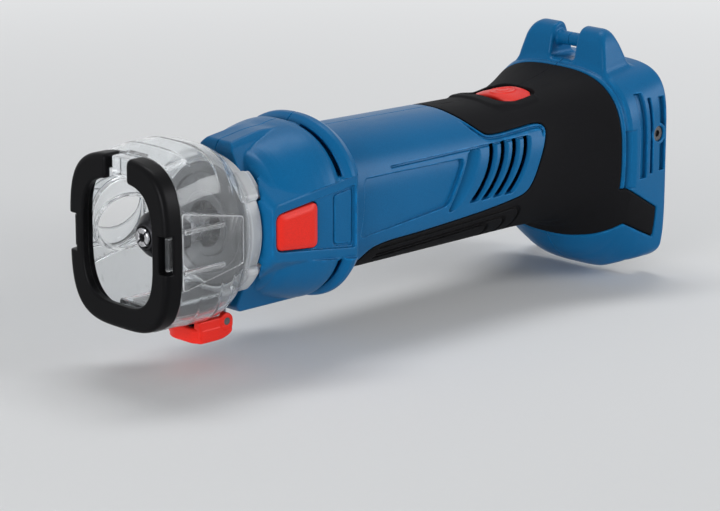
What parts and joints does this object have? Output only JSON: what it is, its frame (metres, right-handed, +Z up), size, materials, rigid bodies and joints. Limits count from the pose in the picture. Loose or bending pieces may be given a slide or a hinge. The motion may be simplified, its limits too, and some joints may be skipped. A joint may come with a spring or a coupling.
{
  "type": "drywall cut-out tool",
  "caption": "Cordless drywall cut-out tool with a barrel grip, battery foot, hang loop, collet spindle and a clear sliding dust hood with a foot ring.",
  "frame": {"origin": "centre of the collet bore at the collet's mouth", "axes": "+X forward along the spindle towards the work, +Y to the tool's left, +Z up with the slide switch on top"},
  "size_m": [0.2775, 0.084, 0.1093],
  "materials": {
    "blue_plastic": "fine spark-eroded grain",
    "grip_rubber": "matte overmould",
    "red_plastic": "satin",
    "clear_plastic": "clear polycarbonate",
    "black_plastic": "satin",
    "screw_steel": "zinc plated",
    "bearing_steel": "ground",
    "dark_steel": "blackened",
    "cast_aluminium": "cast and turned",
    "copper": "enamelled wire",
    "contact_brass": "plated",
    "circuit_board": "solder mask"
  },
  "bodies": {
    "housing": {"housing_left": "blue_plastic", "housing_right": "blue_plastic", "grip_left": "grip_rubber", "grip_right": "grip_rubber", "housing_screws": "screw_steel", "front_flange": "cast_aluminium", "depth_rail": "black_plastic", "rail_screws": "screw_steel", "front_bearing_outer": "bearing_steel", "rear_bearing_outer": "bearing_steel", "stator_core": "dark_steel", "stator_windings": "copper", "sensor_board": "circuit_board", "motor_leads": "copper", "control_module": "cast_aluminium", "control_board": "circuit_board", "switch_block": "black_plastic", "battery_shoe": "black_plastic", "shoe_screws": "screw_steel", "terminal_block": "black_plastic", "battery_blades": "contact_brass", "battery_leads": "copper", "lock_spring": "screw_steel"},
    "spindle": {"motor_shaft": "bearing_steel", "rotor_core": "dark_steel", "rotor_magnets": "dark_steel", "cooling_fan": "black_plastic", "front_bearing_inner": "bearing_steel", "rear_bearing_inner": "bearing_steel", "collet": "bearing_steel"},
    "nut": {"collet_nut": "dark_steel"},
    "lock": {"lock_button": "red_plastic", "lock_pin": "screw_steel"},
    "switch": {"switch_cap": "red_plastic"},
    "depth_guide": {"dust_hood": "clear_plastic", "foot_ring": "black_plastic", "lever_pin": "screw_steel", "clamp_shoe": "black_plastic"},
    "lever": {"clamp_lever": "red_plastic"}
  },
  "joints": [
    {"name": "spindle_spin", "type": "hinge", "parent": "housing", "child": "spindle", "pos_m": [0, 0, 0], "axis": [1, 0, 0], "continuous": true},
    {"name": "nut_turn", "type": "hinge", "parent": "spindle", "child": "nut", "pos_m": [-0.009, 0, 0], "axis": [1, 0, 0], "range_deg": [0, 180]},
    {"name": "lock_press", "type": "slide", "parent": "housing", "child": "lock", "axis": [0, -1, 0], "range_m": [0, 0.004], "stiffness_N_per_m": 800, "deforming": ["lock_spring"]},
    {"name": "switch_slide", "type": "slide", "parent": "housing", "child": "switch", "axis": [1, 0, 0], "range_m": [0, 0.006]},
    {"name": "depth_slide", "type": "slide", "parent": "housing", "child": "depth_guide", "axis": [1, 0, 0], "range_m": [0, 0.02]},
    {"name": "lever_flip", "type": "hinge", "parent": "depth_guide", "child": "lever", "pos_m": [-0.035, 0, -0.0386], "axis": [0, 1, 0], "range_deg": [0, 80]}
  ]
}
